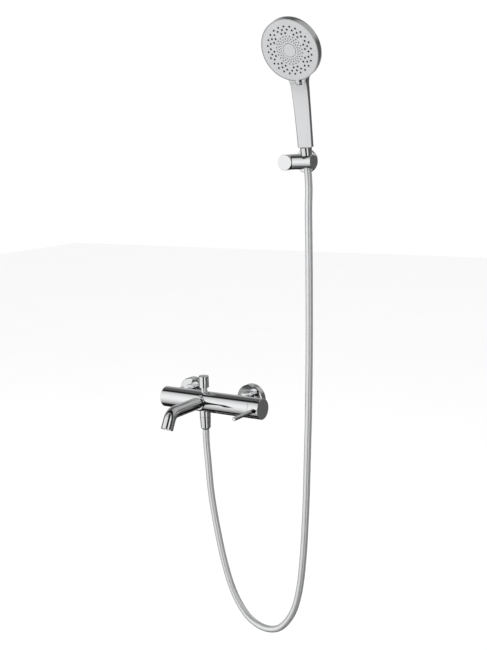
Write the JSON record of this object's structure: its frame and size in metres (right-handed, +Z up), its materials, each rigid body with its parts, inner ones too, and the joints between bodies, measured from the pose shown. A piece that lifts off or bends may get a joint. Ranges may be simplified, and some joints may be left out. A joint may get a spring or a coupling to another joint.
{
  "type": "wall mounted bath faucet",
  "caption": "Wall mounted bath mixer with a curved spout, side lever handle, pull-up diverter, hose and round-faced hand shower resting in a wall bracket.",
  "frame": {"origin": "middle of the two wall inlets, on the wall's face", "axes": "+X runs to the right along the wall, +Y goes into the wall and +Z is up; the room is on -Y"},
  "size_m": [0.424, 0.2448, 1.2224],
  "materials": {
    "chrome": "polished",
    "chromed_plastic": "chrome plated",
    "brass": "machined",
    "steel": "machined",
    "hose_silver": "smooth silver",
    "rubber": "matte",
    "black_plastic": "moulded",
    "grey_rubber": "matte",
    "white_plastic": "moulded",
    "ceramic": "lapped",
    "satin_grey": "satin"
  },
  "bodies": {
    "fixed_parts": {"mixer_body": "chrome", "left_end_plug": "chrome", "union_nuts": "chrome", "inlet_washers": "rubber", "inlet_filters": "steel", "inlet_connectors": "chrome", "wall_flanges": "chrome", "cartridge_body": "white_plastic", "cartridge_seal": "rubber", "fixed_ceramic_disc": "ceramic", "cartridge_nut": "brass", "diverter_bush": "chrome", "diverter_spring": "steel", "shower_outlet": "chrome", "outlet_check_valve": "white_plastic", "spout": "chrome", "spout_nipple": "brass", "spout_collar": "chrome", "aerator_housing": "chrome", "aerator_insert": "white_plastic", "bracket_wall_plate": "chrome", "bracket_base": "steel", "wall_screws": "steel", "wall_plugs": "white_plastic", "bracket_post": "chrome", "bracket_grub_screw": "steel", "bracket_front_cap": "chrome", "arm_neck_ring": "black_plastic", "bracket_arm": "chrome", "bracket_arm_cap": "chrome", "arm_bolt": "steel", "socket_liner": "black_plastic", "lower_hose_nut": "chrome", "lower_hose_tail": "brass", "outlet_washer": "rubber", "shower_hose": "hose_silver"},
    "handle": {"handle_cap": "chrome", "cartridge_stem": "brass", "moving_ceramic_disc": "ceramic", "cap_grub_screw": "steel", "lever_pivot_pin": "steel"},
    "lever": {"lever_pin": "chrome"},
    "diverter": {"diverter_knob": "chrome", "diverter_rod": "steel", "diverter_plug": "brass", "diverter_seal": "rubber"},
    "hose_end": {"upper_hose_tail": "brass"},
    "hand_shower": {"upper_hose_nut": "chrome", "handset_washer": "rubber", "handset_shell": "chromed_plastic", "water_duct": "white_plastic", "handset_tail": "black_plastic", "handset_trim_ring": "chromed_plastic", "spray_distributor": "white_plastic"},
    "spray_dial": {"spray_face": "satin_grey", "rubber_nozzles": "rubber", "inner_spray_disc": "satin_grey", "fine_nozzles": "grey_rubber", "centre_button": "satin_grey"}
  },
  "joints": [
    {"name": "temperature", "type": "hinge", "parent": "fixed_parts", "child": "handle", "pos_m": [0.1435, -0.07, 0], "axis": [1, 0, 0], "range_deg": [-45, 45]},
    {"name": "flow", "type": "hinge", "parent": "handle", "child": "lever", "pos_m": [0.1332, -0.0805, 0], "axis": [0, 0, 1], "range_deg": [0, 15]},
    {"name": "diverter_pull", "type": "slide", "parent": "fixed_parts", "child": "diverter", "axis": [0, 0, 1], "range_m": [0, 0.01], "stiffness_N_per_m": 60, "springref_m": -0.02, "deforming": ["diverter_spring"]},
    {"name": "handset_lift", "type": "slide", "parent": "fixed_parts", "child": "hose_end", "axis": [0, -0.1219, 0.9925], "range_m": [0, 0.06]},
    {"name": "handset_turn", "type": "hinge", "parent": "hose_end", "child": "hand_shower", "pos_m": [0.2609, -0.0695, 0.4865], "axis": [0, -0.1219, 0.9925], "range_deg": [-60, 60]},
    {"name": "spray_select", "type": "hinge", "parent": "hand_shower", "child": "spray_dial", "pos_m": [0.2609, -0.1205, 0.68527], "axis": [0, -0.9135, -0.4067], "range_deg": [0, 6]}
  ]
}
